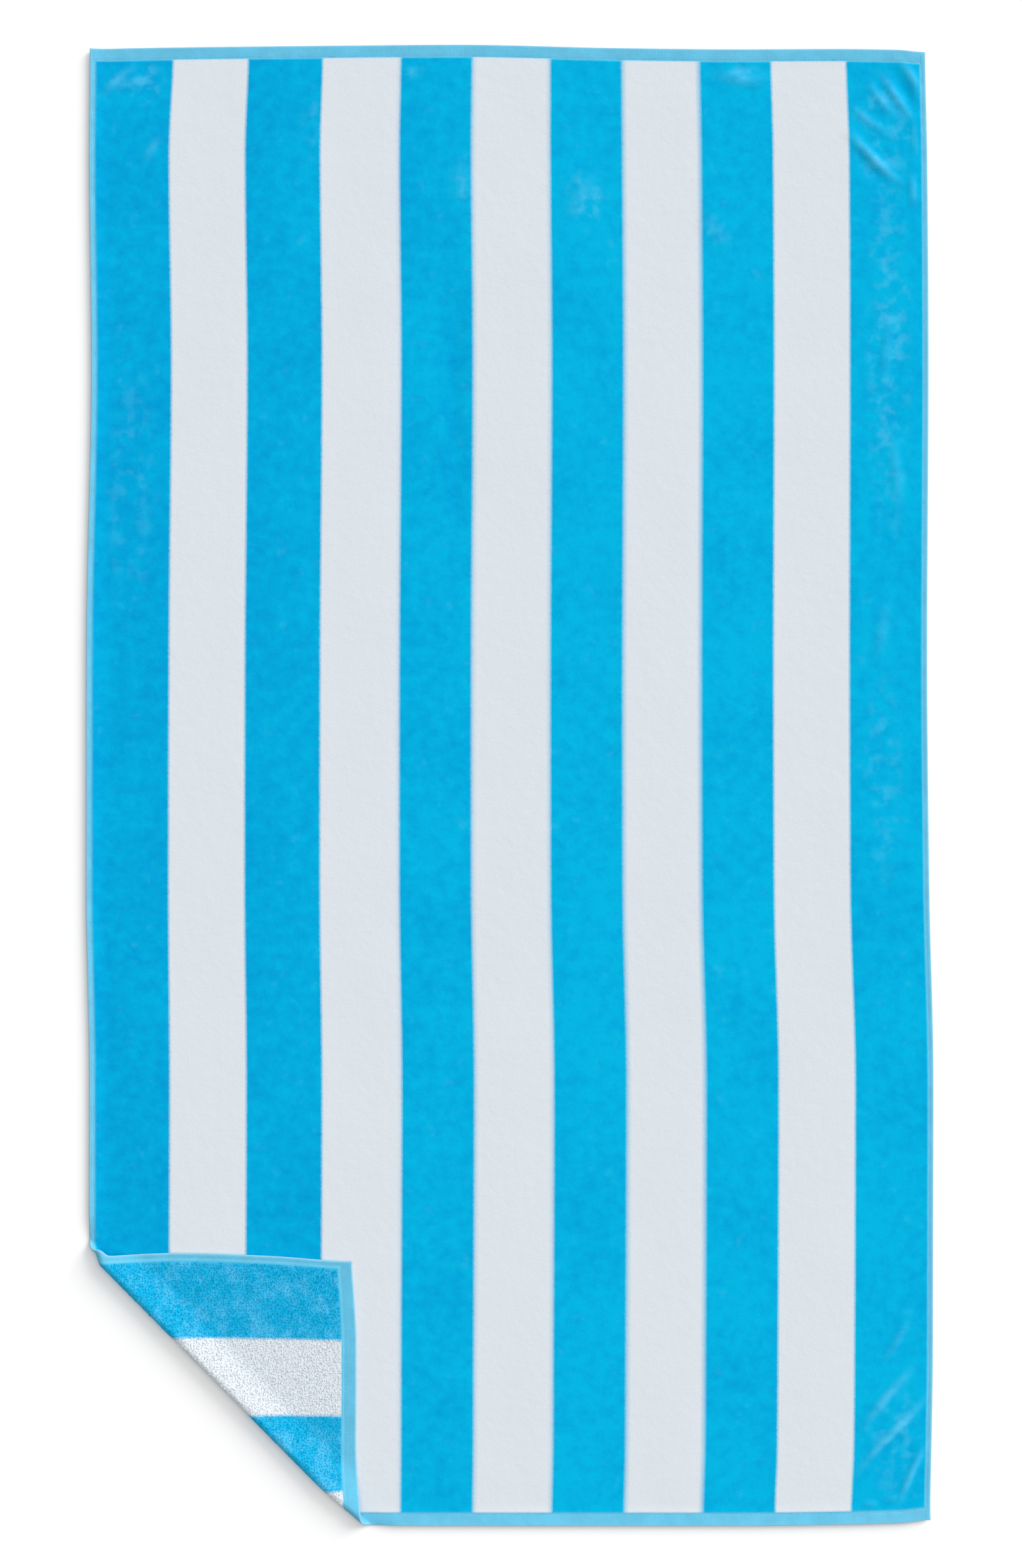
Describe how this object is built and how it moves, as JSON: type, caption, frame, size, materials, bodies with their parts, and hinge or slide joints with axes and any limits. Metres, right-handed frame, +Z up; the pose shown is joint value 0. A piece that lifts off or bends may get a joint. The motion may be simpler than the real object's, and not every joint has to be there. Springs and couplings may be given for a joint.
{
  "type": "beach towel",
  "caption": "Velour terry towel with wide lengthwise cabana stripes and a hem all round, spread flat face up with one lower corner turned over to show its looped reverse.",
  "frame": {"origin": "middle of the towel's outline, on the surface that it lies on", "axes": "+X across the stripes, away from the turned corner; +Y along the stripes, away from the turned corner; +Z up"},
  "size_m": [1.022, 1.7854, 0.015],
  "materials": {
    "velour": "cut-pile cotton velour, azure blue with soft white stripes, matt"
  },
  "bodies": {
    "root": {"towel": "velour"}
  },
  "joints": []
}
